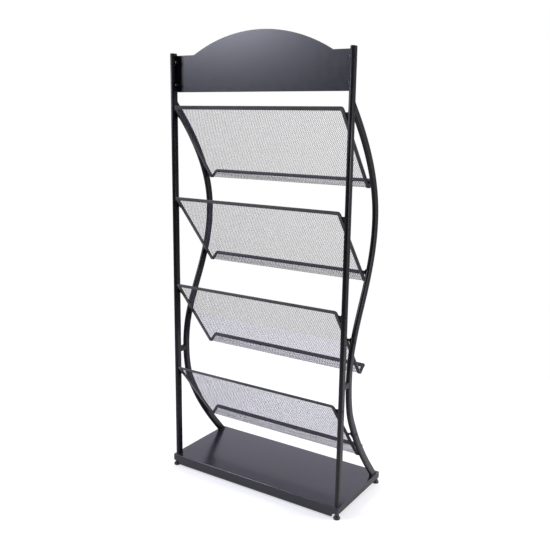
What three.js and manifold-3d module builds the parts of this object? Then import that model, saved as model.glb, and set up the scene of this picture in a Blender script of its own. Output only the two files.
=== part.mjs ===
// Four-tier mesh magazine rack, floor standing, knock-down steel construction.
// Millimetres, +Z up. The origin is on the floor under the middle of the rack's
// bounding box. -Y is the reader's side, where magazines lean on the mesh;
// +Y is the back, where the straight posts stand. X runs along the shelves.
import * as THREE from 'three';
import { mergeVertices } from 'three/addons/utils/BufferGeometryUtils.js';
import Module from 'manifold-3d';

const wasm = await Module();
wasm.setup();

// ---------------------------------------------------------------- dimensions
const GAP = 0.3;                 // between touching pieces

const PLATFORM_W = 750;          // folded sheet platform
const PLATFORM_D = 335;
const PLATFORM_TOP = 46;
const SHEET = 1.5;
const BEND_R = 3.5;              // outer bend radius of the platform's folds
const FLANGE_H = 38.5;           // depth of its front and back flanges
const FLANGE_END_H = 25.5;       // the same flanges over the rail ends
const FLANGE_END_W = 24;

const BACK_Y = 166.4;            // back edge of the platform
const FRONT_Y = BACK_Y - PLATFORM_D;

const RAIL_W = 25;               // rectangular tube under each end
const RAIL_H = 24;
const RAIL_WALL = 1.5;
const RAIL_END = 2.9;            // rail ends stop inside the folds
const RAIL_X = PLATFORM_W / 2 - GAP - RAIL_W / 2;

const TUBE_W = 15;               // posts and curved tubes: 30 x 15 flat-oval tube,
const TUBE_D = 30;               // narrow across the rack, deep from front to back
const TUBE_WALL = 1.4;
const POST_X = 363;
const POST_Y = BACK_Y - 20.6;
const POST_TOP = 1597.6;
const PLUG_H = 10;               // threaded plug welded in each tube's foot

const HEADER_BOTTOM = 1465;
const HEADER_TOP = 1593.5;       // level shoulders beside the arch
const ARCH_HALF = 282;
const ARCH_TOP = 1668;
const HEADER_SHEET = 1.5;
const HEADER_Y = BACK_Y - 36;    // back face of the header panel
const HEADER_FLANGE_BACK = BACK_Y - 13.3;
const HEADER_BOLT_Z = [1569, 1491];

const SHELF_HALF_W = 345.5;
const SHELF_TOP_Y = BACK_Y + 3.5;
const SHELF_TOP_Z = [1416.5, 1086.5, 756, 424];
const SHELF_TILT = [51.4, 51.1, 53.8, 51.4];     // from horizontal, degrees
const PANEL_L = 344;
const LIP_L = 46;
const MESH_T = 1.2;
const MESH_INSET = 3.5;          // mesh edge inside the folded strips
const HEM_W = 15.5;              // folded strip along the top and the lip
const HEM_T = 3.4;
const SIDE_W = 12.5;             // folded strip down each end
const SIDE_T = 5.5;
const HEM_CORNER_R = 9;
const TAB_X = 353.2;             // fixing tabs lie on the tubes' inner sides
const TAB_T = 2;
const POST_TAB_DROP = 24;        // post bolt below the shelf's top edge
const TUBE_BOLT_Z = [1159, 849, 628, 273];

const BOLT_R = 3;
const HOLE_R = 3.5;
const HEAD_R = 5.5;
const HEAD_T = 1.7;              // low button heads on the tubes
const FOOT_HEAD_T = 3.2;

const FOOT_X = 366;
const FOOT_BACK_Y = BACK_Y - 9;
const FOOT_FRONT_Y = FRONT_Y + 9;
const FOOT_R = 12.5;
const STEM_R = 4;
const PAD_H = 15;                // bell-shaped glide
const FOOT_BOLT_BACK_Y = POST_Y - 3;

const LINK_Z = 484;
const LINK_H = 21;
const LINK_T = 14;

// Centre line of the curved tubes: distance in front of the platform's back
// edge, and height.
const CURVE = [
  [31.3, 1415], [63.4, 1380], [97, 1340], [130, 1296], [159.9, 1250],
  [186.6, 1200], [210.1, 1140], [223.7, 1080], [227, 1019], [221.2, 960],
  [207.4, 900], [186.9, 840], [160.8, 780], [131.9, 720], [105.4, 660],
  [85, 600], [73.6, 540], [71.1, 475], [77.1, 410], [92.6, 350], [117.4, 300],
  [145.6, 250], [178.8, 200], [216.1, 150], [257, 100], [304.2, 46],
];

// -------------------------------------------------------------------- solids
function solid(geometry) {
  let g = geometry.index ? geometry : geometry.clone();
  g.deleteAttribute('normal');
  g.deleteAttribute('uv');
  g = mergeVertices(g, 1e-4);
  const mesh = new wasm.Mesh({
    numProp: 3,
    vertProperties: new Float32Array(g.attributes.position.array),
    triVerts: new Uint32Array(g.index.array),
  });
  return new wasm.Manifold(mesh);
}

function toGeometry(manifold) {
  const m = manifold.getMesh();
  const g = new THREE.BufferGeometry();
  g.setAttribute('position', new THREE.BufferAttribute(new Float32Array(m.vertProperties), 3));
  g.setIndex(new THREE.BufferAttribute(new Uint32Array(m.triVerts), 1));
  const flat = g.toNonIndexed();
  flat.computeVertexNormals();
  return flat;
}

const box = (x0, x1, y0, y1, z0, z1) => {
  const g = new THREE.BoxGeometry(x1 - x0, y1 - y0, z1 - z0);
  g.translate((x0 + x1) / 2, (y0 + y1) / 2, (z0 + z1) / 2);
  return solid(g);
};

const cylinder = (axis, r, a, b, c1, c2, seg = 24, rTop = r) => {
  const g = new THREE.CylinderGeometry(rTop, r, b - a, seg);
  g.translate(0, (a + b) / 2, 0);
  if (axis === 'z') { g.rotateX(Math.PI / 2); g.translate(c1, c2, 0); }
  if (axis === 'x') { g.rotateZ(-Math.PI / 2); g.translate(0, c1, c2); }
  if (axis === 'y') g.translate(c1, 0, c2);
  return solid(g);
};

// outline of [y, z] points pushed along X from x0 to x1
const slab = (outline, x0, x1) => {
  const s = new THREE.Shape(outline.map(([y, z]) => new THREE.Vector2(y, z)));
  const g = new THREE.ExtrudeGeometry(s, { depth: x1 - x0, bevelEnabled: false, curveSegments: 6 });
  const m = new THREE.Matrix4().set(0, 0, 1, x0, 1, 0, 0, 0, 0, 1, 0, 0, 0, 0, 0, 1);
  g.applyMatrix4(m);
  return solid(g);
};

// outline of [x, z] points pushed along Y from y0 to y1
const plate = (shape, y0, y1, curveSegments = 6) => {
  const g = new THREE.ExtrudeGeometry(shape, { depth: y1 - y0, bevelEnabled: false, curveSegments });
  g.rotateX(Math.PI / 2);
  g.translate(0, y1, 0);
  return solid(g);
};

const lathe = (profile, x, y, seg = 24) => {
  const g = new THREE.LatheGeometry(profile.map(([r, z]) => new THREE.Vector2(r, z)), seg);
  g.rotateX(Math.PI / 2);
  g.translate(x, y, 0);
  return solid(g);
};

const minus = (a, ...rest) => rest.reduce((m, b) => m.subtract(b), a);
const plus = (a, ...rest) => rest.reduce((m, b) => m.add(b), a);
const arc = (cx, cy, r, a0, a1, n) => Array.from({ length: n + 1 }, (_, i) => {
  const a = a0 + ((a1 - a0) * i) / n;
  return [cx + r * Math.cos(a), cy + r * Math.sin(a)];
});

// --------------------------------------------------------------------- group
const rack = new THREE.Group();
const finish = {
  coat: () => new THREE.MeshStandardMaterial({ color: 0x1d1d20, roughness: 0.42, metalness: 0.15 }),
  header: () => new THREE.MeshStandardMaterial({ color: 0x2b2b30, roughness: 0.38, metalness: 0.15 }),
  platform: () => new THREE.MeshStandardMaterial({ color: 0x29292e, roughness: 0.3, metalness: 0.15 }),
  mesh: () => new THREE.MeshStandardMaterial({ color: 0x3a3a40, roughness: 0.5, metalness: 0.2 }),
  hem: () => new THREE.MeshStandardMaterial({ color: 0x303034, roughness: 0.45, metalness: 0.15 }),
  plastic: () => new THREE.MeshStandardMaterial({ color: 0x151517, roughness: 0.6, metalness: 0 }),
  bolt: () => new THREE.MeshStandardMaterial({ color: 0x232326, roughness: 0.4, metalness: 0.6 }),
  zinc: () => new THREE.MeshStandardMaterial({ color: 0x9a9ca0, roughness: 0.35, metalness: 0.9 }),
};
function node(name, manifold, material) {
  const m = new THREE.Mesh(toGeometry(manifold), material);
  m.name = name;
  rack.add(m);
}

// ---------------------------------------------------------- curved tube path
const curvePoint = ([f, z]) => new THREE.Vector3(0, BACK_Y - f, z);
const knots = [[8.6, 1436], ...CURVE, [322.6, 24]].map(curvePoint);
const path = new THREE.CatmullRomCurve3(knots, false, 'centripetal');
// point of the centre line at a given height
function tubeY(z) {
  let best = null;
  for (let i = 0; i <= 4000; i++) {
    const p = path.getPoint(i / 4000);
    if (!best || Math.abs(p.z - z) < Math.abs(best.z - z)) best = p;
  }
  return best.y;
}
// flat oval of width w (first axis) and depth d, grown by g on every side
function oval(w, d, g = 0, n = 6) {
  const r = w / 2 + g, c = (d - w) / 2;
  return new THREE.Shape([...arc(0, c, r, 0, Math.PI, n), ...arc(0, -c, r, Math.PI, Math.PI * 2, n)]
    .map(([x, y]) => new THREE.Vector2(x, y)));
}
// upright flat oval from z0 to z1
function upright(x, y, z0, z1, w, d, g = 0, n = 6) {
  const m = new THREE.ExtrudeGeometry(oval(w, d, g, n), { depth: z1 - z0, bevelEnabled: false });
  m.translate(x, y, z0);
  return solid(m);
}
function sweep(g, n, steps) {
  const s = oval(TUBE_W, TUBE_D, g, n);
  const spaced = new THREE.CatmullRomCurve3(path.getSpacedPoints(steps), false, 'centripetal');
  return solid(new THREE.ExtrudeGeometry(s, { steps, extrudePath: spaced, bevelEnabled: false }));
}

const tubeOuter = sweep(0, 7, 38);
const tubeInner = sweep(-TUBE_WALL, 3, 38);
const FOOT_BOLT_FRONT_Y = tubeY(PLATFORM_TOP) + 3;

// ------------------------------------------------------- base: two side rails
for (const [side, s] of [['left', -1], ['right', 1]]) {
  const x0 = s * RAIL_X - RAIL_W / 2, x1 = s * RAIL_X + RAIL_W / 2;
  const top = PLATFORM_TOP - SHEET - GAP, low = top - RAIL_H;
  const y0 = FRONT_Y + RAIL_END, y1 = BACK_Y - RAIL_END;
  let rail = box(x0, x1, y0, y1, low, top)
    .subtract(box(x0 + RAIL_WALL, x1 - RAIL_WALL, y0 - 1, y1 + 1, low + RAIL_WALL, top - RAIL_WALL));
  for (const fy of [FOOT_BACK_Y, FOOT_FRONT_Y]) {
    rail = rail.add(cylinder('z', 5.9, low + 0.5, low + RAIL_WALL + 7, s * FOOT_X, fy, 16));
    rail = rail.subtract(cylinder('z', STEM_R + 0.4, low - 2, low + RAIL_WALL + 9, s * FOOT_X, fy, 12));
  }
  for (const by of [FOOT_BOLT_BACK_Y, FOOT_BOLT_FRONT_Y]) {
    rail = rail.subtract(cylinder('z', HOLE_R, top - 4, top + 1, s * POST_X, by, 10));
    rail = rail.subtract(cylinder('z', 6.3, low - 1, low + RAIL_WALL + 0.2, s * POST_X, by, 12));
  }
  node(`base_rail_${side}`, rail, finish.coat());
}

// ------------------------------------- base: platform folded from one sheet
{
  const t = PLATFORM_TOP, r = BEND_R, ri = BEND_R - SHEET, b = t - FLANGE_H;
  const outline = [
    [BACK_Y, b], ...arc(BACK_Y - r, t - r, r, 0, Math.PI / 2, 4),
    ...arc(FRONT_Y + r, t - r, r, Math.PI / 2, Math.PI, 4), [FRONT_Y, b], [FRONT_Y + SHEET, b],
    ...arc(FRONT_Y + r, t - r, ri, Math.PI, Math.PI / 2, 4),
    ...arc(BACK_Y - r, t - r, ri, Math.PI / 2, 0, 4), [BACK_Y - SHEET, b],
  ];
  let pan = slab(outline, -PLATFORM_W / 2, PLATFORM_W / 2);
  for (const s of [-1, 1]) {
    const xa = s * (PLATFORM_W / 2 - FLANGE_END_W), xb = s * (PLATFORM_W / 2 + 2);
    pan = pan.subtract(box(Math.min(xa, xb), Math.max(xa, xb), FRONT_Y - 2, BACK_Y + 2, b - 2, t - FLANGE_END_H));
    pan = pan.subtract(cylinder('z', HOLE_R, t - 5, t + 2, s * POST_X, FOOT_BOLT_BACK_Y, 10));
    pan = pan.subtract(cylinder('z', HOLE_R, t - 5, t + 2, s * POST_X, FOOT_BOLT_FRONT_Y, 10));
  }
  node('base_platform', pan, finish.platform());
}

// -------------------------------------------- posts, curved tubes, caps, links
for (const [side, s] of [['left', -1], ['right', 1]]) {
  const x = s * POST_X;
  const bottom = PLATFORM_TOP + GAP;
  const cross = (y, z) => cylinder('x', HOLE_R, Math.min(s * 330, s * 395), Math.max(s * 330, s * 395), y, z, 10);

  let post = upright(x, POST_Y, bottom, POST_TOP, TUBE_W, TUBE_D, 0, 12)
    .subtract(upright(x, POST_Y, bottom + PLUG_H, POST_TOP + 1, TUBE_W, TUBE_D, -TUBE_WALL, 6))
    .subtract(cylinder('z', HOLE_R, bottom - 1, bottom + PLUG_H + 2, x, FOOT_BOLT_BACK_Y, 10));
  for (const z of HEADER_BOLT_Z) post = post.subtract(cross(POST_Y, z));
  for (const z of SHELF_TOP_Z) post = post.subtract(cross(POST_Y, z - POST_TAB_DROP));
  node(`post_${side}`, post, finish.coat());

  const shift = (m) => m.translate([x, 0, 0]);
  let bore = shift(tubeInner).intersect(box(x - 40, x + 40, -400, 400, bottom + PLUG_H, 1500));
  let tube = shift(tubeOuter)
    .intersect(box(x - 40, x + 40, -400, POST_Y, bottom, 1500))
    .subtract(bore)
    .subtract(upright(x, POST_Y, 1300, 1520, TUBE_W, TUBE_D, GAP, 12))
    .subtract(cylinder('z', HOLE_R, bottom - 1, bottom + PLUG_H + 3, x, FOOT_BOLT_FRONT_Y, 10));
  for (const z of TUBE_BOLT_Z) tube = tube.subtract(cross(tubeY(z), z));
  node(`curved_tube_${side}`, tube, finish.coat());

  // low domed plug in the top of the post
  const capZ = POST_TOP + GAP;
  node(`post_cap_${side}`, plus(
    upright(x, POST_Y, capZ - 14, capZ + 0.5, TUBE_W, TUBE_D, -TUBE_WALL - 0.6, 6),
    upright(x, POST_Y, capZ, capZ + 1.4, TUBE_W, TUBE_D, 0, 12),
    upright(x, POST_Y, capZ + 1, capZ + 2.3, TUBE_W, TUBE_D, -0.8, 12),
    upright(x, POST_Y, capZ + 2, capZ + 3.1, TUBE_W, TUBE_D, -2.4, 12),
  ), finish.plastic());

  // short bar that ties the post to the curved tube where they come closest
  const tubeAtLink = tubeY(LINK_Z);
  node(`link_${side}`, minus(
    box(x - LINK_T / 2, x + LINK_T / 2, tubeAtLink, POST_Y, LINK_Z - LINK_H / 2, LINK_Z + LINK_H / 2),
    upright(x, POST_Y, LINK_Z - 40, LINK_Z + 40, TUBE_W, TUBE_D, GAP, 12),
    upright(x, tubeAtLink, LINK_Z - 40, LINK_Z + 40, TUBE_W, TUBE_D, 0.6, 12),
  ), finish.coat());

  // bolts from inside the rails up into the tube feet
  for (const [what, by] of [['post', FOOT_BOLT_BACK_Y], ['tube', FOOT_BOLT_FRONT_Y]]) {
    const under = PLATFORM_TOP - SHEET - GAP - RAIL_WALL - GAP;
    node(`foot_bolt_${what}_${side}`, plus(
      cylinder('z', BOLT_R, under - 1, bottom + PLUG_H + (what === 'post' ? 4 : -2), x, by, 12),
      cylinder('z', HEAD_R - 1.5, under - FOOT_HEAD_T, under, x, by, 14, HEAD_R),
    ), finish.bolt());
  }
}

// ------------------------------------------------------------------- header
{
  const half = POST_X - TUBE_W / 2 - GAP;
  const rise = ARCH_TOP - HEADER_TOP;
  const R = (ARCH_HALF ** 2 + rise ** 2) / (2 * rise);
  const a = Math.asin(ARCH_HALF / R);
  const pts = [[half, HEADER_BOTTOM], [half, HEADER_TOP],
    ...arc(0, ARCH_TOP - R, R, Math.PI / 2 - a, Math.PI / 2 + a, 28), [-half, HEADER_TOP], [-half, HEADER_BOTTOM]];
  const outline = new THREE.Shape(pts.map(([x, z]) => new THREE.Vector2(x, z)));
  // plan of the folded sheet: panel in front, a flange back along each post
  const y0 = HEADER_Y - HEADER_SHEET, r = 3.5, ri = r - HEADER_SHEET;
  const plan = [
    [half, HEADER_FLANGE_BACK], ...arc(half - r, y0 + r, r, 0, -Math.PI / 2, 4),
    ...arc(-half + r, y0 + r, r, -Math.PI / 2, -Math.PI, 4), [-half, HEADER_FLANGE_BACK],
    [-half + HEADER_SHEET, HEADER_FLANGE_BACK],
    ...arc(-half + r, y0 + r, ri, -Math.PI, -Math.PI / 2, 4),
    ...arc(half - r, y0 + r, ri, -Math.PI / 2, 0, 4), [half - HEADER_SHEET, HEADER_FLANGE_BACK],
  ].reverse();
  const g = new THREE.ExtrudeGeometry(new THREE.Shape(plan.map(([x, y]) => new THREE.Vector2(x, y))),
    { depth: ARCH_TOP + 10 - HEADER_BOTTOM, bevelEnabled: false });
  g.translate(0, 0, HEADER_BOTTOM);
  let header = solid(g).intersect(plate(outline, HEADER_Y - 20, HEADER_FLANGE_BACK + 20));
  for (const z of HEADER_BOLT_Z) header = header.subtract(cylinder('x', HOLE_R, -400, 400, POST_Y, z, 10));
  node('header_panel', header, finish.header());

  for (const [side, s] of [['left', -1], ['right', 1]]) {
    HEADER_BOLT_Z.forEach((z, i) => {
      const row = i === 0 ? 'upper' : 'lower';
      const out = POST_X + TUBE_W / 2 + GAP;
      const shank = cylinder('x', BOLT_R, half - 10.7, out + 0.5, POST_Y, z, 12);
      const head = cylinder('x', HEAD_R, out, out + HEAD_T, POST_Y, z, 16, HEAD_R - 1.6);
      let bolt = shank.add(head);
      if (s < 0) bolt = bolt.mirror([1, 0, 0]);
      node(`header_bolt_${row}_${side}`, bolt, finish.bolt());
      const inner = half - HEADER_SHEET - GAP;
      let nut = cylinder('x', 5.8, inner - 4.6, inner, POST_Y, z, 6)
        .subtract(cylinder('x', HOLE_R, inner - 6, inner + 2, POST_Y, z, 10));
      if (s < 0) nut = nut.mirror([1, 0, 0]);
      node(`header_nut_${row}_${side}`, nut, finish.zinc());
    });
  }
}

// ------------------------------------------------------------------- shelves
SHELF_TOP_Z.forEach((topZ, i) => {
  const n = i + 1;
  const a = THREE.MathUtils.degToRad(SHELF_TILT[i]);
  // local [u, v]: u down the panel from its top edge, v out of its front face
  const at = (u, v) => [SHELF_TOP_Y - u * Math.cos(a) - v * Math.sin(a), topZ - u * Math.sin(a) + v * Math.cos(a)];
  const local = (y, z) => {
    const dy = SHELF_TOP_Y - y, dz = topZ - z;
    return [dy * Math.cos(a) + dz * Math.sin(a), dy * Math.sin(a) - dz * Math.cos(a)];
  };
  const block = (u0, u1, v0, v1, x0, x1) =>
    slab([at(u0, v0), at(u1, v0), at(u1, v1), at(u0, v1)].reverse(), x0, x1);
  // bent strip of thickness t: panel from u0 to the fold, then the lip up to v1
  const angle = (u0, v1, t, x0, x1) => {
    const h = t / 2, R = 4;
    return slab([
      at(u0, -h), ...arc(PANEL_L - R, R - 0, R + h, -Math.PI / 2, 0, 3).map(([u, v]) => at(u, v)),
      at(PANEL_L + h, v1), at(PANEL_L - h, v1),
      ...arc(PANEL_L - R, R - 0, R - h, 0, -Math.PI / 2, 3).map(([u, v]) => at(u, v)), at(u0, h),
    ].reverse(), x0, x1);
  };

  const W = SHELF_HALF_W;
  const M = MESH_INSET;
  node(`shelf_mesh_${n}`, angle(M, LIP_L - M, MESH_T, -(W - M), W - M), finish.mesh());

  // welded rim: folded strips along the top edge, the lip and both ends
  let frame = plus(
    block(0, HEM_W, -HEM_T / 2, HEM_T / 2, -W, W),
    block(PANEL_L - HEM_T / 2, PANEL_L + HEM_T / 2, LIP_L - HEM_W, LIP_L, -W, W),
    angle(0, LIP_L, SIDE_T, -W, -W + SIDE_W),
    angle(0, LIP_L, SIDE_T, W - SIDE_W, W),
  );
  frame = frame.subtract(angle(M - GAP, LIP_L - M + GAP, MESH_T + 2 * GAP, -(W - M + GAP), W - M + GAP));
  // rounded outer corners of the top strip and of the lip
  const r = HEM_CORNER_R;
  const corners = [
    [at(r, 0), new THREE.Vector3(0, -Math.sin(a), Math.cos(a)), (x0, x1) => block(-1, r, -6, 6, x0, x1)],
    [at(PANEL_L, LIP_L - r), new THREE.Vector3(0, -Math.cos(a), -Math.sin(a)),
      (x0, x1) => block(PANEL_L - 6, PANEL_L + 6, LIP_L - r, LIP_L + 1, x0, x1)],
  ];
  for (const s of [-1, 1]) {
    for (const [[cy, cz], normal, corner] of corners) {
      const round = new THREE.CylinderGeometry(r, r, 16, 32);
      round.applyQuaternion(new THREE.Quaternion().setFromUnitVectors(new THREE.Vector3(0, 1, 0), normal));
      round.translate(s * (W - r), cy, cz);
      const square = corner(s > 0 ? W - r : -W - 1, s > 0 ? W + 1 : -W + r);
      frame = frame.subtract(square.subtract(solid(round)));
    }
  }
  // fixing tabs: one leg on the end strip, one leg flat against the tube
  const bolts = [[POST_Y, topZ - POST_TAB_DROP, 'post'], [tubeY(TUBE_BOLT_Z[i]), TUBE_BOLT_Z[i], 'tube']];
  for (const s of [-1, 1]) {
    const X = (p, q) => (s > 0 ? [p, q] : [-q, -p]);
    for (const [by, bz, what] of bolts) {
      const [bu, bv] = local(by, bz);
      const u0 = bu - (what === 'post' ? 10 : 17), u1 = Math.min(bu + 9, PANEL_L - 2);
      const v1 = bv + 8;
      let tab = plus(
        block(u0, bu + (what === 'post' ? 24 : -5), 1, SIDE_T / 2, ...X(W - SIDE_W + 1, TAB_X + TAB_T)),
        block(u0, u1, Math.min(1, bv - 8), v1, ...X(TAB_X, TAB_X + TAB_T)),
      );
      tab = tab.subtract(cylinder('x', HOLE_R, s > 0 ? 340 : -362, s > 0 ? 362 : -340, by, bz, 10));
      frame = frame.add(tab);
    }
  }
  node(`shelf_frame_${n}`, frame, finish.hem());

  for (const [side, s] of [['left', -1], ['right', 1]]) {
    for (const [by, bz, what] of bolts) {
      const out = POST_X + TUBE_W / 2 + GAP;
      let bolt = cylinder('x', BOLT_R, TAB_X - 2.4, out + 0.5, by, bz, 12)
        .add(cylinder('x', HEAD_R, out, out + HEAD_T, by, bz, 16, HEAD_R - 1.6));
      if (s < 0) bolt = bolt.mirror([1, 0, 0]);
      node(`shelf_bolt_${n}_${what}_${side}`, bolt, finish.bolt());
    }
  }
});

// ------------------------------------------------------------ levelling feet
for (const [side, s] of [['left', -1], ['right', 1]]) {
  for (const [end, fy] of [['back', FOOT_BACK_Y], ['front', FOOT_FRONT_Y]]) {
    const under = PLATFORM_TOP - SHEET - GAP - RAIL_H - GAP;
    // moulded glide with a socket, and the screw with a hexagon that stands in it
    node(`foot_pad_${end}_${side}`, lathe([
      [0, 0], [FOOT_R - 1.2, 0], [FOOT_R, 1.2], [FOOT_R, 4.5], [FOOT_R - 1.4, 7.4], [8.6, 11.4], [7.4, PAD_H],
      [STEM_R + GAP, PAD_H], [STEM_R + GAP, 4], [0, 4],
    ], s * FOOT_X, fy, 24), finish.plastic());
    node(`foot_stem_${end}_${side}`, plus(
      cylinder('z', STEM_R, 4 + GAP, under + 15, s * FOOT_X, fy, 12),
      cylinder('z', 6.6, PAD_H + GAP, under, s * FOOT_X, fy, 6),
    ), finish.zinc());
  }
}

export default rack;
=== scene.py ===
import math

import bmesh
import bpy
import numpy as np
from mathutils import Matrix, Vector


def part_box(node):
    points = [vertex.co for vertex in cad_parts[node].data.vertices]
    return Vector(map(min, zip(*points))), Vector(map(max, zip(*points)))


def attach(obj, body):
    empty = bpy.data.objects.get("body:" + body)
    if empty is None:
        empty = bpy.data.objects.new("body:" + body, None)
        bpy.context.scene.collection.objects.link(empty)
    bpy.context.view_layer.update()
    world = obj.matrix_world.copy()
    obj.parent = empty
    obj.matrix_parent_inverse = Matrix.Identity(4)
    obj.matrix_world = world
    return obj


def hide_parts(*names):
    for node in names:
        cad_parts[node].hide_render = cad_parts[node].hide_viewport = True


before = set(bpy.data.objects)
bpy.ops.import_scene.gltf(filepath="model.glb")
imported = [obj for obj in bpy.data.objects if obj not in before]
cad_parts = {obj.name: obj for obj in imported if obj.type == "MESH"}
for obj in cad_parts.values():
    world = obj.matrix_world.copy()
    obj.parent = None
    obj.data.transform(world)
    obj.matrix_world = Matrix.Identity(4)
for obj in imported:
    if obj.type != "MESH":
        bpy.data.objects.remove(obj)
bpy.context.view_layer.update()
MM = 0.001

# ------------------------------------------------------------ places, in mm
def node_box(name):
    lo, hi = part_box(name)
    return np.array(lo) / MM, np.array(hi) / MM


pan_lo, pan_hi = node_box("base_platform")
BACK_Y, FRONT_Y, PLATFORM_TOP = pan_hi[1], pan_lo[1], pan_hi[2]
PLATFORM_W = pan_hi[0] - pan_lo[0]
post_lo, post_hi = node_box("post_right")
TUBE_W, TUBE_D = post_hi[0] - post_lo[0], post_hi[1] - post_lo[1]
POST_X, POST_Y = (post_lo[0] + post_hi[0]) / 2, (post_lo[1] + post_hi[1]) / 2
POST_TOP = post_hi[2]
SHELF_TOP_Y = BACK_Y + 3.5
SHELF_TOP_Z = [1416.5, 1086.5, 756, 424]
SHELF_TILT = [51.4, 51.1, 53.8, 51.4]
PANEL_L, LIP_L, BEND = 344.0, 46.0, 4.0
HALF_W = 345.5
HEM_W, HEM_T = 15.5, 3.4
SIDE_W, SIDE_T = 12.5, 5.5
CORNER_R = 9.0
POST_TAB_DROP = 24
TAB_OUT = 355.2                  # outer side of the fixing tabs
TUBE_BOLT_Z = [1159, 849, 628, 273]
HEADER_BOLT_Z = [1569, 1491]
CURVE = [
    (31.3, 1415), (63.4, 1380), (97, 1340), (130, 1296), (159.9, 1250),
    (186.6, 1200), (210.1, 1140), (223.7, 1080), (227, 1019), (221.2, 960),
    (207.4, 900), (186.9, 840), (160.8, 780), (131.9, 720), (105.4, 660),
    (85, 600), (73.6, 540), (71.1, 475), (77.1, 410), (92.6, 350), (117.4, 300),
    (145.6, 250), (178.8, 200), (216.1, 150), (257, 100), (304.2, 46),
]


# ------------------------------------------------------------ node materials
def srgb(v):
    v = v / 255
    return v / 12.92 if v <= 0.04045 else ((v + 0.055) / 1.055) ** 2.4


def rgb(*c):
    return tuple(srgb(v) for v in c) + (1.0,)


def add(nt, kind, **inputs):
    n = nt.nodes.new(kind)
    for k, v in inputs.items():
        key = k.replace("_", " ")
        if key in n.inputs:
            n.inputs[key].default_value = v
        else:
            setattr(n, k, v)
    return n


def ramp(nt, source, stops):
    r = nt.nodes.new("ShaderNodeValToRGB")
    els = r.color_ramp.elements
    while len(els) < len(stops):
        els.new(0.5)
    for e, (p, c) in zip(els, stops):
        e.position = p
        e.color = c if len(c) == 4 else (*c, 1)
    nt.links.new(source, r.inputs["Fac"])
    return r.outputs["Color"]


def grey(v):
    return (v, v, v, 1.0)


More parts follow.
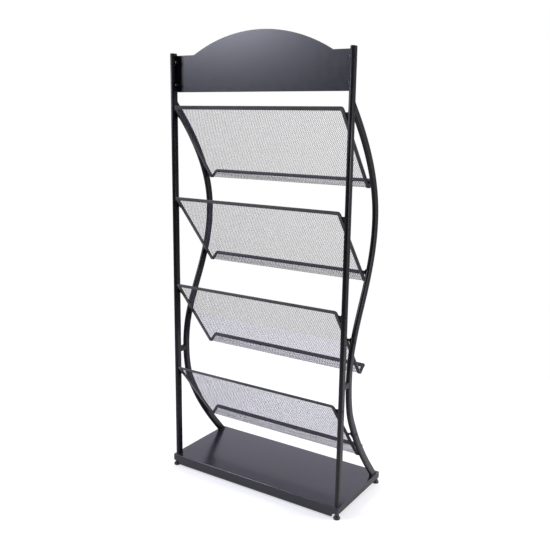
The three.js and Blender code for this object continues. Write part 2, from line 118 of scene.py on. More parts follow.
def coat(name, colour, light, rough, spread=0.05, peel=900.0, depth=0.10, metallic=0.0,
         dust=0.04, coat_weight=0.0, fine=0.3, edge_highlight=0.0, specular=0.5):
    """Powder coat: orange peel, faint colour clouds, rub marks, a little dust on top faces and, if asked, a painted
    highlight along convex edges.
    """
    m = bpy.data.materials.new(name)
    m.use_nodes = True
    nt = m.node_tree
    b = nt.nodes["Principled BSDF"]
    tc = nt.nodes.new("ShaderNodeTexCoord").outputs["Object"]
    cloud = add(nt, "ShaderNodeTexNoise", Scale=9.0, Detail=4.0, Roughness=0.55)
    speck = add(nt, "ShaderNodeTexNoise", Scale=peel * 2.1, Detail=2.0, Roughness=0.6)
    orange = add(nt, "ShaderNodeTexNoise", Scale=peel, Detail=3.0, Roughness=0.5)
    rub = add(nt, "ShaderNodeTexNoise", Scale=46.0, Detail=6.0, Roughness=0.7)
    for n in (cloud, speck, orange, rub):
        nt.links.new(tc, n.inputs["Vector"])
    tone = ramp(nt, cloud.outputs["Fac"], [(0.30, colour), (0.72, light)])
    grain = nt.nodes.new("ShaderNodeMix")
    grain.data_type, grain.blend_type = "RGBA", "MULTIPLY"
    grain.inputs["Factor"].default_value = fine
    nt.links.new(tone, grain.inputs["A"])
    nt.links.new(ramp(nt, speck.outputs["Fac"], [(0.32, grey(0.62)), (0.62, grey(1.0))]), grain.inputs["B"])
    # dust settles on faces that look up
    geo = nt.nodes.new("ShaderNodeNewGeometry")
    split = nt.nodes.new("ShaderNodeSeparateXYZ")
    nt.links.new(geo.outputs["Normal"], split.inputs["Vector"])
    up = nt.nodes.new("ShaderNodeMapRange")
    up.inputs["From Min"].default_value = 0.35
    up.inputs["From Max"].default_value = 1.0
    up.inputs["To Max"].default_value = dust
    nt.links.new(split.outputs["Z"], up.inputs["Value"])
    patch = nt.nodes.new("ShaderNodeMath")
    patch.operation = "MULTIPLY"
    nt.links.new(up.outputs["Result"], patch.inputs[0])
    nt.links.new(ramp(nt, rub.outputs["Fac"], [(0.35, grey(0.25)), (0.7, grey(1.0))]), patch.inputs[1])
    dusty = nt.nodes.new("ShaderNodeMix")
    dusty.data_type = "RGBA"
    nt.links.new(patch.outputs[0], dusty.inputs["Factor"])
    nt.links.new(grain.outputs["Result"], dusty.inputs["A"])
    dusty.inputs["B"].default_value = rgb(150, 148, 146)
    colour_out = dusty.outputs["Result"]
    # painted highlight: a lighter bluish grey laid on convex edges, picked out by pointiness and broken up by the rub
    # noise
    if edge_highlight:
        edge_highlight_mix = nt.nodes.new("ShaderNodeMix")
        edge_highlight_mix.data_type = "RGBA"
        edge_highlight_mix.inputs["B"].default_value = rgb(120, 120, 124)
        edge_highlight_mask = nt.nodes.new("ShaderNodeMath")
        edge_highlight_mask.operation = "MULTIPLY"
        nt.links.new(ramp(nt, geo.outputs["Pointiness"], [(0.52, grey(0.0)), (0.60, grey(edge_highlight))]), edge_highlight_mask.inputs[0])
        nt.links.new(ramp(nt, rub.outputs["Fac"], [(0.45, grey(0.0)), (0.66, grey(1.0))]), edge_highlight_mask.inputs[1])
        nt.links.new(edge_highlight_mask.outputs[0], edge_highlight_mix.inputs["Factor"])
        nt.links.new(colour_out, edge_highlight_mix.inputs["A"])
        colour_out = edge_highlight_mix.outputs["Result"]
    nt.links.new(colour_out, b.inputs["Base Color"])
    r = nt.nodes.new("ShaderNodeMapRange")
    r.inputs["From Min"].default_value = 0.3
    r.inputs["From Max"].default_value = 0.7
    r.inputs["To Min"].default_value = rough - spread
    r.inputs["To Max"].default_value = rough + spread
    nt.links.new(rub.outputs["Fac"], r.inputs["Value"])
    nt.links.new(r.outputs["Result"], b.inputs["Roughness"])
    bump = add(nt, "ShaderNodeBump", Strength=depth, Distance=0.0004)
    nt.links.new(orange.outputs["Fac"], bump.inputs["Height"])
    nt.links.new(bump.outputs["Normal"], b.inputs["Normal"])
    b.inputs["Metallic"].default_value = metallic
    b.inputs["Specular IOR Level"].default_value = specular
    if coat_weight:
        b.inputs["Coat Weight"].default_value = coat_weight
        b.inputs["Coat Roughness"].default_value = 0.12
    return m


# the tube and hem coats carry a painted highlight along their convex edges
M_TUBE = coat("coat_tube", rgb(11, 11, 12), rgb(18, 18, 20), 0.38, depth=0.12, edge_highlight=0.12, specular=0.26, dust=0.02)
M_HEM = coat("coat_hem", rgb(47, 46, 46), rgb(61, 59, 60), 0.44, depth=0.14, edge_highlight=0.15, specular=0.4)
M_TAB = coat("coat_tab", rgb(10, 10, 11), rgb(16, 16, 18), 0.45, depth=0.14, specular=0.25, dust=0.0)
M_HEADER = coat("coat_header", rgb(11, 12, 19), rgb(15, 16, 24), 0.31, spread=0.03, depth=0.06, fine=0.2)
M_PLATFORM = coat("coat_platform", rgb(20, 18, 26), rgb(25, 23, 33), 0.22, specular=0.44, spread=0.03, depth=0.05, fine=0.2, dust=0.03)
M_MESH = coat("coat_mesh", rgb(56, 53, 70), rgb(72, 68, 88), 0.62, peel=1400.0, depth=0.05, specular=0.2, dust=0.0)
M_BOLT = coat("black_oxide", rgb(26, 26, 28), rgb(40, 40, 42), 0.36, metallic=0.5, depth=0.05, dust=0.0)
M_ZINC = coat("zinc_plate", rgb(74, 75, 77), rgb(98, 99, 100), 0.38, metallic=0.9, depth=0.06, dust=0.0, fine=0.15)
M_PLASTIC = coat("moulded_black", rgb(18, 18, 19), rgb(26, 26, 27), 0.5, peel=1600.0, depth=0.2, dust=0.05)


# ----------------------------------------------------------------- geometry
def finish_mesh(me, angle=30.0):
    bm = bmesh.new()
    bm.from_mesh(me)
    bmesh.ops.recalc_face_normals(bm, faces=bm.faces)
    limit = math.radians(angle)
    for f in bm.faces:
        f.smooth = True
    for e in bm.edges:
        e.smooth = len(e.link_faces) == 2 and e.calc_face_angle(0.0) < limit
    bm.to_mesh(me)
    bm.free()
    me.update()


def piece(name, verts, faces, mat, body="rack", nodes=(), angle=30.0, recalc=True, data=None, matrix=None):
    """A shown piece from points in mm, riding on a body and standing for CAD nodes."""
    if data is None:
        me = bpy.data.meshes.new(name)
        me.from_pydata([tuple(c * MM for c in v) for v in verts], [], [tuple(int(i) for i in f) for f in faces])
        me.materials.append(mat)
        if recalc:
            finish_mesh(me, angle)
    else:
        me = data
    o = bpy.data.objects.new(name, me)
    bpy.context.scene.collection.objects.link(o)
    if matrix is not None:
        o.matrix_world = matrix
    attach(o, body)
    if nodes:
        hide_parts(*nodes)
    return o


class Build:
    """Points and faces that go into one piece."""

    def __init__(self):
        self.v, self.f = [], []

    def take(self, verts, faces):
        n = len(self.v)
        self.v += [tuple(p) for p in verts]
        self.f += [tuple(i + n for i in f) for f in faces]

    def rings(self, rings, closed=False, caps=(True, True)):
        """Skin through rings of equal length, each a closed loop."""
        k = len(rings[0])
        verts = [p for r in rings for p in r]
        faces = []
        n = len(rings)
        for i in range(n if closed else n - 1):
            a, b = i * k, ((i + 1) % n) * k
            for j in range(k):
                j2 = (j + 1) % k
                faces.append((a + j, a + j2, b + j2, b + j))
        if not closed:
            if caps[0]:
                faces.append(tuple(reversed(range(k))))
            if caps[1]:
                faces.append(tuple((n - 1) * k + j for j in range(k)))
        self.take(verts, faces)


def lathe(profile, seg=48):
    """Rings round +Z from (r, z) pairs. A pair at r = 0 closes the form."""
    verts, faces, rows = [], [], []
    for r, z in profile:
        if r < 1e-6:
            rows.append([len(verts)])
            verts.append((0, 0, z))
        else:
            rows.append(list(range(len(verts), len(verts) + seg)))
            for i in range(seg):
                a = 2 * math.pi * i / seg
                verts.append((r * math.cos(a), r * math.sin(a), z))
    for a, b in zip(rows, rows[1:]):
        for i in range(seg):
            j = (i + 1) % seg
            if len(a) == 1 and len(b) == 1:
                continue
            if len(a) == 1:
                faces.append((a[0], b[j], b[i]))
            elif len(b) == 1:
                faces.append((a[i], a[j], b[0]))
            else:
                faces.append((a[i], a[j], b[j], b[i]))
    return verts, faces


def moved(verts, x=0.0, y=0.0, z=0.0):
    return [(v[0] + x, v[1] + y, v[2] + z) for v in verts]


def rounded(w, h, r, n=3):
    """Rounded rectangle about the origin, counter-clockwise."""
    pts = []
    for cx, cy, a0 in ((w / 2 - r, h / 2 - r, 0), (-w / 2 + r, h / 2 - r, 90), (-w / 2 + r, -h / 2 + r, 180), (w / 2 - r, -h / 2 + r, 270)):
        for i in range(n + 1):
            a = math.radians(a0 + 90 * i / n)
            pts.append((cx + r * math.cos(a), cy + r * math.sin(a)))
    return pts


def spline(points, step=8.0):
    """Smooth curve through points by a natural cubic in chord length: places and unit tangents."""
    p = np.array(points, float)
    d = np.r_[0, np.cumsum(np.linalg.norm(np.diff(p, axis=0), axis=1))]
    n = len(p)
    h = np.diff(d)
    A = np.zeros((n, n))
    A[0, 0] = A[-1, -1] = 1
    for i in range(1, n - 1):
        A[i, i - 1], A[i, i], A[i, i + 1] = h[i - 1], 2 * (h[i - 1] + h[i]), h[i]
    out, tan = [], []
    ts = np.linspace(0, d[-1], int(d[-1] / step) + 1)
    cols = []
    for k in range(p.shape[1]):
        rhs = np.zeros(n)
        rhs[1:-1] = 6 * (np.diff(p[1:, k]) / h[1:] - np.diff(p[:-1, k]) / h[:-1])
        m = np.linalg.solve(A, rhs)
        i = np.clip(np.searchsorted(d, ts, side="right") - 1, 0, n - 2)
        a, b = d[i + 1] - ts, ts - d[i]
        val = (m[i] * a**3 + m[i + 1] * b**3) / (6 * h[i]) + (p[i, k] / h[i] - m[i] * h[i] / 6) * a + (p[i + 1, k] / h[i] - m[i + 1] * h[i] / 6) * b
        der = (-m[i] * a**2 + m[i + 1] * b**2) / (2 * h[i]) - (p[i, k] / h[i] - m[i] * h[i] / 6) + (p[i + 1, k] / h[i] - m[i + 1] * h[i] / 6)
        cols.append((val, der))
    pos = np.stack([c[0] for c in cols], 1)
    der = np.stack([c[1] for c in cols], 1)
    return pos, der / np.linalg.norm(der, axis=1)[:, None]


def oval(w, d, g=0.0, n=14):
    """Flat-oval outline, w by d, grown by g on every side, counter-clockwise."""
    r, c = w / 2 + g, (d - w) / 2
    pts = [(r * math.cos(math.pi * k / n), c + r * math.sin(math.pi * k / n)) for k in range(n + 1)]
    pts += [(-r, c * 0.5), (-r, 0.0), (-r, -c * 0.5)]
    pts += [(r * math.cos(math.pi + math.pi * k / n), -c + r * math.sin(math.pi + math.pi * k / n)) for k in range(n + 1)]
    pts += [(r, -c * 0.5), (r, 0.0), (r, c * 0.5)]
    return pts


# ------------------------------------------------- posts and their end caps
SIDES = (("left", -1), ("right", 1))
for side, s in SIDES:
    x = s * POST_X
    z0 = PLATFORM_TOP

    def level(g, z):
        return [(x + a, POST_Y + c, z) for a, c in oval(TUBE_W, TUBE_D, g)]

    b = Build()
    b.rings([level(0, z0 + 0.05), level(0, 400), level(0, 800), level(0, 1200), level(0, POST_TOP - 0.5), level(-0.4, POST_TOP),
             level(-1.4, POST_TOP), level(-1.4, POST_TOP - 6)])
    # weld bead round the foot
    bead = []
    for g, h in ((-0.6, 2.9), (0.5, 2.3), (1.5, 1.2), (1.9, 0.05), (-0.6, 0.05)):
        ring = []
        for k, (px, py, pz) in enumerate(level(g, z0 + h)):
            wob = 0.16 * math.sin(k * 1.9 + s) + 0.1 * math.sin(k * 4.3)
            ring.append((px + wob * (g > 0), py + wob * (g > 0), pz))
        bead.append(ring)
    b.rings(bead, closed=True)
    piece(f"post_tube_{side}", b.v, b.f, M_TUBE, nodes=[f"post_{side}"], angle=40)
    t = POST_TOP + 0.1
    b = Build()
    b.rings([level(-2.0, t - 10), level(-1.9, t), level(-0.05, t), level(-0.05, t + 1.2), level(-0.4, t + 2.0), level(-1.4, t + 2.6),
             level(-3.2, t + 2.95), level(-5.5, t + 3.15)])
    piece(f"post_plug_{side}", b.v, b.f, M_PLASTIC, nodes=[f"post_cap_{side}"], angle=50)

# ---------------------------------------------------------- S-curved tubes
path, tan = spline([(BACK_Y - a, z) for a, z in CURVE], 7.0)


def tube_at(z):
    i = int(np.argmin(abs(path[:, 1] - z)))
    return path[i]


def across(t):
    return np.array([-t[1], t[0]])


def tube_ring(i, g=0.0):
    return [(a, *(path[i] + across(tan[i]) * c)) for a, c in oval(TUBE_W, TUBE_D, g)]


front_face = POST_Y - TUBE_D / 2
inside = [i for i in range(len(path)) if max(p[1] for p in tube_ring(i)) < front_face - 1 and min(p[2] for p in tube_ring(i)) > PLATFORM_TOP + 1]
first, last = inside[0], inside[-1]


def head_ring(g, along):
    """The tube's upper end, mitred to the post's rounded front."""
    ring = []
    t = tan[first]
    for a, y, z in tube_ring(first, g):
        half = TUBE_W / 2 - 0.1
        face = POST_Y - (TUBE_D - TUBE_W) / 2 - math.sqrt(max(0.0, half**2 - a * a))
        k = (face - y) / t[0] + along
        ring.append((a, y + t[0] * k, z + t[1] * k))
    return ring


def foot_ring(g, h):
    """The tube's foot, cut level with the platform."""
    t = tan[last]
    ring = []
    for a, y, z in tube_ring(last, g):
        k = (PLATFORM_TOP + h - z) / t[1]
        ring.append((a, y + t[0] * k, z + t[1] * k))
    return ring


for side, s in SIDES:
    x = s * POST_X
    b = Build()
    b.rings([head_ring(0, 0.0), *[tube_ring(i) for i in inside], foot_ring(0, 0.05)])
    b.rings([foot_ring(-0.8, 0.05), foot_ring(2.0, 0.05), foot_ring(1.6, 1.2), foot_ring(0.7, 2.4), foot_ring(-0.4, 3.0)], closed=True)
    b.rings([head_ring(-0.5, 0.2), head_ring(1.0, 0.4), head_ring(0.9, 1.6), head_ring(0.3, 2.6), head_ring(-0.5, 2.8)], closed=True)
    piece(f"s_tube_{side}", moved(b.v, x), b.f, M_TUBE, nodes=[f"curved_tube_{side}"], angle=40)

# --------------------------------------------------------- post to tube ties
for side, s in SIDES:
    x = s * POST_X
    lo, hi = node_box(f"link_{side}")
    b = Build()
    prof = rounded(hi[0] - lo[0], hi[2] - lo[2], 2.0, 4)
    ys = [lo[1] - 4, (lo[1] + hi[1]) / 2, hi[1] + 4]
    b.rings([[(px + x, y, pz + (lo[2] + hi[2]) / 2) for px, pz in prof] for y in ys])
    piece(f"tie_bar_{side}", b.v, b.f, M_TUBE, nodes=[f"link_{side}"], angle=40)

# -------------------------------------------------------------- expanded mesh
def fold(s, n):
    """(u, v) at length s along the sheet's middle and n off it, towards the reader."""
    flat = PANEL_L - BEND
    quarter = BEND * math.pi / 2
    s, n = np.asarray(s, float), np.asarray(n, float)
    th = np.clip((s - flat) / BEND, 0, math.pi / 2)
    u = np.where(s < flat, s, np.where(s < flat + quarter, flat + (BEND - n) * np.sin(th), PANEL_L - n))
    v = np.where(s < flat, n, np.where(s < flat + quarter, BEND - (BEND - n) * np.cos(th), BEND + s - flat - quarter))
    return u, v


SHEET_END = PANEL_L - BEND + BEND * math.pi / 2 + LIP_L - BEND
WAY_X, WAY_S = 7.0, 11.6          # diamond pitch across and down the slope
STRAND, BOND, THICK = 0.80, 2.5, 0.80


def expanded():
    half_x, half_s = WAY_X / 2, WAY_S / 2
    ni = int((HALF_W - 5) / half_x)
    nj = int((SHEET_END - 8) / half_s)
    s0 = (SHEET_END - nj * half_s) / 2
    ids = {}
    centres = []
    for j in range(nj + 1):
        for i in range(-ni, ni + 1):
            if (i + j) % 2 == 0:
                ids[(i, j)] = len(centres)
                centres.append((i * half_x, s0 + j * half_s))
    c = np.array(centres)
    w, h, t = STRAND, BOND / 2, THICK / 2
    local = np.array([(-w, -h), (0, -h), (w, -h), (w, h), (0, h), (-w, h)])
    xs = c[:, None, 0] + local[None, :, 0]
    ss = c[:, None, 1] + local[None, :, 1]
    points = []
    for n in (t, -t):
        u, v = fold(ss, np.full_like(ss, n))
        points.append(np.stack([xs, u, v], -1))
    pts = np.concatenate(points, 1).reshape(-1, 3)      # 12 points a bond: 6 on each side
    faces = []
    for (i, j), k in ids.items():
        a = 12 * k
        faces.append((a, a + 1, a + 2, a + 3, a + 4, a + 5))
        faces.append((a + 11, a + 10, a + 9, a + 8, a + 7, a + 6))
        faces.append((a + 5, a + 11, a + 6, a))
        faces.append((a + 2, a + 8, a + 9, a + 3))
        for di, p, q, r, e in ((1, 4, 3, 1, 0), (-1, 5, 4, 2, 1)):
            other = ids.get((i + di, j + 1))
            if other is None:
                faces.append((a + q, a + q + 6, a + p + 6, a + p))
            else:
                o = 12 * other
                # p,q on this bond meet e,r on the next
                faces.append((a + p, a + q, o + r, o + e))
                faces.append((o + e + 6, o + r + 6, a + q + 6, a + p + 6))
                faces.append((a + p, o + e, o + e + 6, a + p + 6))
                faces.append((a + q, a + q + 6, o + r + 6, o + r))
        for di, e, r in ((1, 1, 2), (-1, 0, 1)):
            if (i + di, j - 1) not in ids:
                faces.append((a + e, a + e + 6, a + r + 6, a + r))
    return pts, faces


def local_matrix(i):
    """Shelf space (x, u down the panel, v off its face) to the row frame."""
    a = math.radians(SHELF_TILT[i])
    c, s = math.cos(a), math.sin(a)
    return Matrix((
        (1, 0, 0, 0),
        (0, -c, -s, SHELF_TOP_Y * MM),
        (0, -s, c, SHELF_TOP_Z[i] * MM),
        (0, 0, 0, 1),
    ))


pts, faces = expanded()
mesh_data = bpy.data.meshes.new("expanded_mesh")
mesh_data.from_pydata([tuple(p) for p in pts * MM], [], faces)
mesh_data.materials.append(M_MESH)
mesh_data.update()


# ------------------------------------------------------- folded shelf frame
def plate_ring(outline, v0, v1, r, to3):
    """A closed plate from an outline of (a, b), thickness v0 to v1, with its outer edge rounded by r."""
    b = Build()
    o = np.array(outline, float)
    k = len(o)
    nxt, prv = np.roll(o, -1, 0), np.roll(o, 1, 0)
    e1 = (o - prv) / np.maximum(np.linalg.norm(o - prv, axis=1)[:, None], 1e-9)
    e2 = (nxt - o) / np.maximum(np.linalg.norm(nxt - o, axis=1)[:, None], 1e-9)
    n1, n2 = np.stack([e1[:, 1], -e1[:, 0]], 1), np.stack([e2[:, 1], -e2[:, 0]], 1)
    nn = n1 + n2
    nn /= np.maximum((nn * n1).sum(1), 0.35)[:, None]
    rings = []
    for a in range(0, 4):
        th = math.pi / 2 * a / 3
        rings.append((r * (1 - math.sin(th)), v0 + r * (1 - math.cos(th))))
    rings += [(d, v0 + v1 - v) for d, v in reversed(rings)]
    b.rings([[to3(*(o[i] - nn[i] * d), v) for i in range(k)] for d, v in rings])
    return b


def arc_pts(cx, cy, r, a0, a1, n=6):
    return [(cx + r * math.cos(math.radians(a0 + (a1 - a0) * i / n)), cy + r * math.sin(math.radians(a0 + (a1 - a0) * i / n))) for i in range(n + 1)]


def frame_pieces():
    b = Build()
    W, R = HALF_W, CORNER_R
    # top strip, in the plane of the panel; (x, u) outline, counter-clockwise with u up the page
    top = [(-W, HEM_W + 2), *[(x, u) for x, u in arc_pts(-W + R, R, R, 180, 270)], *arc_pts(W - R, R, R, 270, 360), (W, HEM_W + 2),
           (W - SIDE_W, HEM_W + 2), (W - SIDE_W, HEM_W), (-W + SIDE_W, HEM_W), (-W + SIDE_W, HEM_W + 2)]
    p = plate_ring(top, -HEM_T / 2, HEM_T / 2, 0.9, lambda x, u, v: (x, u, v))
    b.take(p.v, p.f)
    # lip strip, in the plane of the lip; (x, v) outline
    q = LIP_L - HEM_W
    lip = [(-W, q - 2), (-W + SIDE_W, q - 2), (-W + SIDE_W, q), (W - SIDE_W, q), (W - SIDE_W, q - 2), (W, q - 2),
           *arc_pts(W - R, LIP_L - R, R, 0, 90), *arc_pts(-W + R, LIP_L - R, R, 90, 180)]
    p = plate_ring(lip, -HEM_T / 2, HEM_T / 2, 0.9, lambda x, v, u: (x, PANEL_L + u, v))
    b.take(p.v, p.f)
    # end strips follow the fold from the top corner to the lip corner
    length = SHEET_END
    ss = [CORNER_R * 0.55, 14, 60, 150, 240, 310, PANEL_L - BEND - 6, PANEL_L - BEND]
    ss += [PANEL_L - BEND + BEND * math.pi / 2 * k / 6 for k in range(1, 7)]
    ss += [PANEL_L - BEND + BEND * math.pi / 2 + 8, length - CORNER_R * 0.55]
    prof = rounded(SIDE_W, SIDE_T, 1.1, 4)
    for sgn in (-1, 1):
        rings = []
        for k, s_ in enumerate(ss):
            end = k in (0, len(ss) - 1)
            ring = []
            for px, pn in prof:
                x_ = sgn * (W - SIDE_W / 2) + px
                squeeze = 1.0
                if end:
                    # draw the end in under the rounded corner of the strip
                    x_ = sgn * (W - SIDE_W / 2 - 0.9) + px * 0.8
                    squeeze = 0.8
                u, v = fold(s_, pn * squeeze)
                ring.append((x_, float(u), float(v)))
            rings.append(ring)
        b.rings(rings)
    return b


frame_build = frame_pieces()


def tab_build(i):
    """The four bent fixing tabs of a shelf, in shelf space."""
    out = Build()
    a = math.radians(SHELF_TILT[i])
    c, s = math.cos(a), math.sin(a)
    places = [(POST_Y, SHELF_TOP_Z[i] - POST_TAB_DROP, 10, 24), (*tube_at(TUBE_BOLT_Z[i]), 17, -5)]
    for by, bz, above, reach in places:
        dy, dz = SHELF_TOP_Y - by, SHELF_TOP_Z[i] - bz
        bu, bv = dy * c + dz * s, dy * s - dz * c
        u0, u1 = bu - above, min(bu + 9, PANEL_L - 2)
        v0, v1 = min(1.0, bv - 8), bv + 8
        x_in, x_out, t = HALF_W - SIDE_W + 1, TAB_OUT, 2.0
        for sgn in (-1, 1):
            # leg against the tube, with rounded corners
            r = 4.0
            o = [(u0, v0), (u1, v0), *arc_pts(u1 - r, v1 - r, r, 0, 90), *arc_pts(u0 + r, v1 - r, r, 90, 180)]
            p = plate_ring(o, x_out - t, x_out, 0.35, lambda u, v, x_: (sgn * x_, u, v))
            out.take(p.v, p.f)
            # leg on the end strip, turned up through a small bend
            w0, w1 = u0, bu + reach
            prof = [(x_in, 2.5), (x_in, 0.9), (x_out - 3.2, 0.9)]
            prof += [(x_out - 3.2 + 3.2 * math.sin(k * math.pi / 8), 4.1 - 3.2 * math.cos(k * math.pi / 8)) for k in range(1, 5)]
            prof += [(x_out, 6), (x_out - t, 6), (x_out - t, 4.1)]
            prof += [(x_out - 3.2 + 1.2 * math.sin(k * math.pi / 8), 4.1 - 1.6 * math.cos(k * math.pi / 8)) for k in (3, 2, 1)]
            out.rings([[(sgn * px, w, pv) for px, pv in prof] for w in (w0, w1)])
    return out


for i in range(4):
    n = i + 1
    m = local_matrix(i)
    piece(f"shelf_expanded_mesh_{n}", None, None, M_MESH, nodes=[f"shelf_mesh_{n}"], data=mesh_data, matrix=m)
    b = Build()
    b.take(frame_build.v, frame_build.f)
    o = piece(f"shelf_rim_{n}", b.v, b.f, M_HEM, nodes=[f"shelf_frame_{n}"], matrix=m, angle=35)
    t = tab_build(i)
    piece(f"shelf_tabs_{n}", t.v, t.f, M_TAB, matrix=m, angle=35)

# --------------------------------------------------------- folded header
def header():
    lo, hi = node_box("header_panel")
    half, bottom, top = hi[0], lo[2], hi[2]
    shoulder, arch = 1593.5, 282.0
    rise = top - shoulder
    R = (arch**2 + rise**2) / (2 * rise)
    zc = top - R
    t = 1.5
    y0 = lo[1]

    def crest(x):
        return shoulder if abs(x) >= arch else zc + math.sqrt(R * R - x * x)

    # plan of the fold at the back face: list of (x, y outer, x inner, y inner)
    r = 3.5
    plan = []
    plan.append((half, hi[1], half - t, hi[1]))
    plan.append((half, y0 + r + 2, half - t, y0 + r + 2))
    for k in range(7):
        a = math.radians(-90 * k / 6)
        plan.append((half - r + r * math.cos(a), y0 + r + r * math.sin(a), half - r + (r - t) * math.cos(a), y0 + r + (r - t) * math.sin(a)))
    xs = [half - r - 12, arch + 1.5, arch]
    xs += list(np.linspace(arch, 0, 48)[1:])
    for x_ in xs:
        plan.append((x_, y0, x_, y0 + t))
    plan += [(-xo, yo, -xi, yi) for xo, yo, xi, yi in reversed(plan[:-1])]
    b = Build()
    e = 0.35
    rings = []
    for xo, yo, xi, yi in plan:
        # both skins, with the cut edges slightly eased
        nx, ny = xi - xo, yi - yo
        L = math.hypot(nx, ny)
        nx, ny = nx / L, ny / L
        zt, zb = crest((xo + xi) / 2), bottom
        ring = [(xo, yo, zb + e), (xo + nx * e, yo + ny * e, zb), (xi - nx * e, yi - ny * e, zb), (xi, yi, zb + e),
                (xi, yi, zt - e), (xi - nx * e, yi - ny * e, zt), (xo + nx * e, yo + ny * e, zt), (xo, yo, zt - e)]
        rings.append(ring)
    b.rings(rings)
    return b


b = header()
piece("header_sheet", b.v, b.f, M_HEADER, nodes=["header_panel"], angle=25)


# ------------------------------------------------- platform folded from sheet
def platform():
    W, top = PLATFORM_W / 2, PLATFORM_TOP
    low, end_low, end_w = 7.5, 20.5, 24.0
    r, t = 3.5, 1.5
    b = Build()

    def section(zlow):
        outer = [(BACK_Y, zlow), (BACK_Y, top - r)]
        outer += [(BACK_Y - r + r * math.cos(a), top - r + r * math.sin(a)) for a in np.linspace(0, math.pi / 2, 9)[1:]]
        outer += [(FRONT_Y + r - r * math.sin(a), top - r + r * math.cos(a)) for a in np.linspace(0, math.pi / 2, 9)]
        outer += [(FRONT_Y, zlow)]
        inner = [(FRONT_Y + t, zlow)]
        ri = r - t
        inner += [(FRONT_Y + r - ri * math.cos(a), top - r + ri * math.sin(a)) for a in np.linspace(0, math.pi / 2, 9)]
        inner += [(BACK_Y - r + ri * math.sin(a), top - r + ri * math.cos(a)) for a in np.linspace(0, math.pi / 2, 9)]
        inner += [(BACK_Y - t, zlow)]
        return outer + inner

    ends = section(end_low)
    mid = section(low)

    def ring(sec, x, shrink=0.0):
        cz = []
        for y, z in sec:
            cz.append((x, y, z))
        return cz

    xs = [(-W, ends), (-W + end_w - 6, ends), (-W + end_w - 1.5, section(end_low - 3)), (-W + end_w, section(low + 4)), (-W + end_w + 1.5, section(low + 0.6)), (-W + end_w + 4, mid), (0, mid)]
    rings = [ring(sec, x) for x, sec in xs]
    rings += [ring(sec, -x) for x, sec in reversed(xs[:-1])]
    b.rings(rings)
    return b


b = platform()
pl = piece("platform_sheet", b.v, b.f, M_PLATFORM, nodes=["base_platform"], angle=30)

# CAD rails keep their shape: softened edges and a coat
def dress(name, mat, bevel=0.5):
    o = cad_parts[name]
    o.data.materials.clear()
    o.data.materials.append(mat)
    if bevel:
        mod = o.modifiers.new("soft_edges", "BEVEL")
        mod.width = bevel * MM
        mod.segments = 2
        mod.limit_method = "ANGLE"
        mod.angle_limit = math.radians(40)
    return o


for side, s in SIDES:
    dress(f"base_rail_{side}", M_TUBE, 0.6)
    for what in ("post", "tube"):
        dress(f"foot_bolt_{what}_{side}", M_BOLT, 0)


# ------------------------------------------------------------------ fasteners
def button_bolt(length):
    """Button-head socket screw along +X: the head's seat is at x = 0 and the shank runs to -length."""
    b = Build()
    seg = 36
    dome = [(5.5, 0.0), (5.5, 0.35), (5.3, 0.8), (4.7, 1.3), (3.9, 1.65), (3.0, 1.85), (2.35, 1.9)]

    def ring(r, h):
        return [(h, r * math.cos(2 * math.pi * k / seg), r * math.sin(2 * math.pi * k / seg)) for k in range(seg)]

    def hexring(r, h):
        out = []
        for k in range(seg):
            a = 2 * math.pi * k / seg
            m = (a + math.pi / 6) % (math.pi / 3) - math.pi / 6
            rr = r / math.cos(m)
            out.append((h, rr * math.cos(a), rr * math.sin(a)))
        return out

    rings = [ring(2.9, -length), ring(2.9, -0.0)] + [ring(r, h) for r, h in dome]
    rings += [hexring(1.9, 1.85), hexring(1.85, 1.7), hexring(1.85, 0.5)]
    # thread on the free end
    threads = []
    x_ = -length
    while x_ < -length + 4:
        threads += [ring(2.55, x_), ring(2.95, x_ + 0.5)]
        x_ += 1.0
    b.rings(threads + rings[1:])
    return b


bolt_meshes = {}


def bolt_data(length):
    key = round(length, 2)
    if key not in bolt_meshes:
        b = button_bolt(length)
        me = bpy.data.meshes.new(f"button_bolt_{len(bolt_meshes)}")
        me.from_pydata([tuple(c * MM for c in v) for v in b.v], [], b.f)
        me.materials.append(M_BOLT)
        finish_mesh(me, 35)
        bolt_meshes[key] = me
    return bolt_meshes[key]


def put_bolt(name, node, s, y, z, inner):
    seat = POST_X + TUBE_W / 2 + 0.1
    me = bolt_data(seat - inner)
    turn = Matrix.Rotation(0 if s > 0 else math.pi, 4, "Z")
    m = Matrix.Translation((s * seat * MM, y * MM, z * MM)) @ turn @ Matrix.Rotation(0.35 + z * 0.013, 4, "X")
    piece(name, None, None, M_BOLT, nodes=[node], data=me, matrix=m)


def hex_nut():
    b = Build()
    seg = 36

    def hexring(r, h):
        out = []
        for k in range(seg):
            a = 2 * math.pi * k / seg
            m = (a + math.pi / 6) % (math.pi / 3) - math.pi / 6
            rr = r / math.cos(m)
            out.append((h, rr * math.cos(a), rr * math.sin(a)))
        return out

    def ring(r, h):
        return [(h, r * math.cos(2 * math.pi * k / seg), r * math.sin(2 * math.pi * k / seg)) for k in range(seg)]

    b.rings([ring(3.1, 0), ring(4.7, 0), hexring(5.0, 0.7), hexring(5.0, 3.9), ring(4.7, 4.6), ring(3.1, 4.6)], closed=True)
    return b


nut = hex_nut()
nut_data = bpy.data.meshes.new("hex_nut")
nut_data.from_pydata([tuple(c * MM for c in v) for v in nut.v], [], nut.f)
nut_data.materials.append(M_ZINC)
finish_mesh(nut_data, 35)

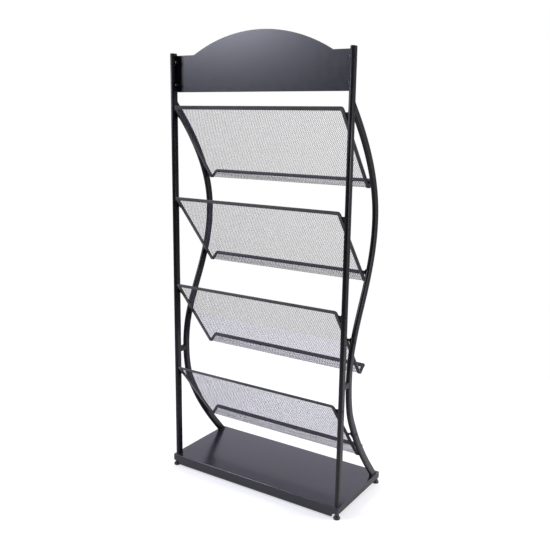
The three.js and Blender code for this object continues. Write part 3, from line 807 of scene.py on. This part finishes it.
for side, s in SIDES:
    for row, z in zip(("upper", "lower"), HEADER_BOLT_Z):
        put_bolt(f"header_screw_{row}_{side}", f"header_bolt_{row}_{side}", s, POST_Y, z, 344.6)
        inner = POST_X - TUBE_W / 2 - 0.3 - 1.5 - 0.1
        m = Matrix.Translation((s * (inner - 4.6 if s > 0 else inner - 4.6) * MM, POST_Y * MM, z * MM))
        if s < 0:
            m = Matrix.Translation((s * (inner - 4.6) * MM, POST_Y * MM, z * MM)) @ Matrix.Rotation(math.pi, 4, "Z")
        piece(f"header_hex_{row}_{side}", None, None, M_ZINC, nodes=[f"header_nut_{row}_{side}"], data=nut_data, matrix=m)
    for i in range(4):
        n = i + 1
        put_bolt(f"shelf_screw_{n}_post_{side}", f"shelf_bolt_{n}_post_{side}", s, POST_Y, SHELF_TOP_Z[i] - POST_TAB_DROP, 350.9)
        ty, tz = tube_at(TUBE_BOLT_Z[i])
        put_bolt(f"shelf_screw_{n}_tube_{side}", f"shelf_bolt_{n}_tube_{side}", s, ty, TUBE_BOLT_Z[i], 350.9)

# ------------------------------------------------------------ levelling feet
for end in ("back", "front"):
    for side, s in SIDES:
        lo, hi = node_box(f"foot_pad_{end}_{side}")
        cx, cy = (lo[0] + hi[0]) / 2, (lo[1] + hi[1]) / 2
        v, f = lathe([(0, 0), (10.6, 0), (11.6, 0.25), (12.3, 0.9), (12.5, 1.7), (12.5, 4.2), (12.3, 5.2), (11.6, 6.6), (10.2, 8.8),
                      (9.0, 10.6), (8.2, 12.2), (7.7, 13.8), (7.4, 14.6), (7.0, 15.0), (4.4, 15.0), (4.4, 5), (0, 5)], 56)
        piece(f"glide_{end}_{side}", moved(v, cx, cy), f, M_PLASTIC, body=f"foot_{end}_{side}", nodes=[f"foot_pad_{end}_{side}"], angle=45)
        slo, shi = node_box(f"foot_stem_{end}_{side}")
        b = Build()
        seg = 36
        hexr = 6.5

        def hexring(r, z):
            out = []
            for k in range(seg):
                a = 2 * math.pi * k / seg
                m = (a + math.pi / 6) % (math.pi / 3) - math.pi / 6
                rr = r / math.cos(m)
                out.append((rr * math.cos(a), rr * math.sin(a), z))
            return out

        def ring(r, z):
            return [(r * math.cos(2 * math.pi * k / seg), r * math.sin(2 * math.pi * k / seg), z) for k in range(seg)]

        under = 19.9
        rings = [ring(3.9, 5.2), ring(3.9, 15.2), ring(5.4, 15.25), hexring(5.65, 15.8), hexring(5.65, under - 0.6), ring(5.4, under - 0.05), ring(4.0, under - 0.02)]
        z = under + 0.2
        while z < shi[2] - 1.3:
            rings += [ring(3.55, z), ring(3.95, z + 0.62)]
            z += 1.25
        rings += [ring(3.5, shi[2] - 0.7), ring(2.9, shi[2] - 0.05)]
        b.rings(rings)
        piece(f"foot_screw_{end}_{side}", moved(b.v, cx, cy), b.f, M_ZINC, body=f"foot_{end}_{side}", nodes=[f"foot_stem_{end}_{side}"], angle=40)

# --------------------------------------------------------- floor, light, view
fm = bpy.data.materials.new("pale_floor")
fm.use_nodes = True
nt = fm.node_tree
nt.nodes.clear()
out = nt.nodes.new("ShaderNodeOutputMaterial")
diff = nt.nodes.new("ShaderNodeBsdfDiffuse")
diff.inputs["Color"].default_value = (0.5, 0.5, 0.5, 1)
glow = nt.nodes.new("ShaderNodeEmission")
glow.inputs["Color"].default_value = (1, 1, 1, 1)
glow.inputs["Strength"].default_value = 0.53
both = nt.nodes.new("ShaderNodeAddShader")
nt.links.new(diff.outputs[0], both.inputs[0])
nt.links.new(glow.outputs[0], both.inputs[1])
nt.links.new(both.outputs[0], out.inputs["Surface"])
me = bpy.data.meshes.new("floor")
S = 1.7
me.from_pydata([(-S, -S, -0.0005), (S, -S, -0.0005), (S, S, -0.0005), (-S, S, -0.0005)], [], [(0, 1, 2, 3)])
me.materials.append(fm)
floor = bpy.data.objects.new("floor", me)
bpy.context.scene.collection.objects.link(floor)

w = bpy.data.worlds.new("studio")
bpy.context.scene.world = w
w.use_nodes = True
nt = w.node_tree
nt.nodes.clear()
out = nt.nodes.new("ShaderNodeOutputWorld")
tc = nt.nodes.new("ShaderNodeTexCoord").outputs["Generated"]
sep = nt.nodes.new("ShaderNodeSeparateXYZ")
nt.links.new(tc, sep.inputs[0])


def math_node(op, a, b):
    n = nt.nodes.new("ShaderNodeMath")
    n.operation = op
    for k, v in enumerate((a, b)):
        if isinstance(v, (int, float)):
            n.inputs[k].default_value = v
        else:
            nt.links.new(v, n.inputs[k])
    return n.outputs[0]


def span(value, a, b, lo, hi):
    n = nt.nodes.new("ShaderNodeMapRange")
    n.interpolation_type = "SMOOTHSTEP"
    for key, v in zip(("From Min", "From Max", "To Min", "To Max"), (a, b, lo, hi)):
        n.inputs[key].default_value = v
    nt.links.new(value, n.inputs["Value"])
    return n.outputs["Result"]


# a lit cyclorama in front of the rack, brighter towards its right end, and a dim room behind it
wall = math_node("MULTIPLY", span(sep.outputs["Y"], 0.3, -0.4, 0.16, 1.0), span(sep.outputs["X"], -0.45, 0.3, 0.28, 1.05))
level_light = math_node("ADD", wall, span(sep.outputs["Z"], 0.3, 0.9, 0.0, 0.6))
lit = nt.nodes.new("ShaderNodeBackground")
lit.inputs["Color"].default_value = (0.93, 0.91, 1.07, 1)
nt.links.new(level_light, lit.inputs["Strength"])
seen = nt.nodes.new("ShaderNodeBackground")
seen.inputs["Color"].default_value = (1, 1, 1, 1)
seen.inputs["Strength"].default_value = 1.0
mixw = nt.nodes.new("ShaderNodeMixShader")
nt.links.new(nt.nodes.new("ShaderNodeLightPath").outputs["Is Camera Ray"], mixw.inputs[0])
nt.links.new(lit.outputs[0], mixw.inputs[1])
nt.links.new(seen.outputs[0], mixw.inputs[2])
nt.links.new(mixw.outputs[0], out.inputs["Surface"])


def area(name, loc, target, size, power, size_y=None, colour=(1, 1, 1)):
    L = bpy.data.lights.new(name, "AREA")
    L.shape = "RECTANGLE"
    L.size, L.size_y = size, size_y or size
    L.energy = power
    L.color = colour
    o = bpy.data.objects.new(name, L)
    bpy.context.scene.collection.objects.link(o)
    o.location = loc
    o.rotation_mode = "QUATERNION"
    o.rotation_quaternion = (Vector(target) - Vector(loc)).to_track_quat("-Z", "Y")
    o.visible_camera = False
    return o


area("softbox_header", (2.2, 2.6, 2.72), (0.1, 0.1, 1.6), 1.2, 123, colour=(0.91, 0.92, 1.10))
area("softbox_side", (-2.3, -0.8, 1.3), (-0.9, -0.6, 0), 0.8, 44)

cam_data = bpy.data.cameras.new("camera")
cam_data.sensor_width = 36.0
cam_data.lens = 36.0 * 725.961 / 550
cam = bpy.data.objects.new("camera", cam_data)
bpy.context.scene.collection.objects.link(cam)
yaw, pitch, roll = 0.573, -0.214, 0.014
YAW = yaw
fw = np.array([-math.sin(yaw) * math.cos(pitch), math.cos(yaw) * math.cos(pitch), math.sin(pitch)])
r0 = np.array([math.cos(yaw), math.sin(yaw), 0.0])
u0 = np.cross(r0, fw)
right = math.cos(roll) * r0 + math.sin(roll) * u0
upv = -math.sin(roll) * r0 + math.cos(roll) * u0
flip = np.array([-1.0, -1.0, 1.0])
fw, right, upv = fw * flip, right * flip, upv * flip
cam.matrix_world = Matrix((
    (right[0], upv[0], -fw[0], -1.431361),
    (right[1], upv[1], -fw[1], (BACK_Y + 2065.42) * MM),
    (right[2], upv[2], -fw[2], 1.381077),
    (0, 0, 0, 1),
))
bpy.context.scene.camera = cam
cam_data.clip_start, cam_data.clip_end = 0.05, 100
bpy.context.scene.view_settings.view_transform = "Standard"
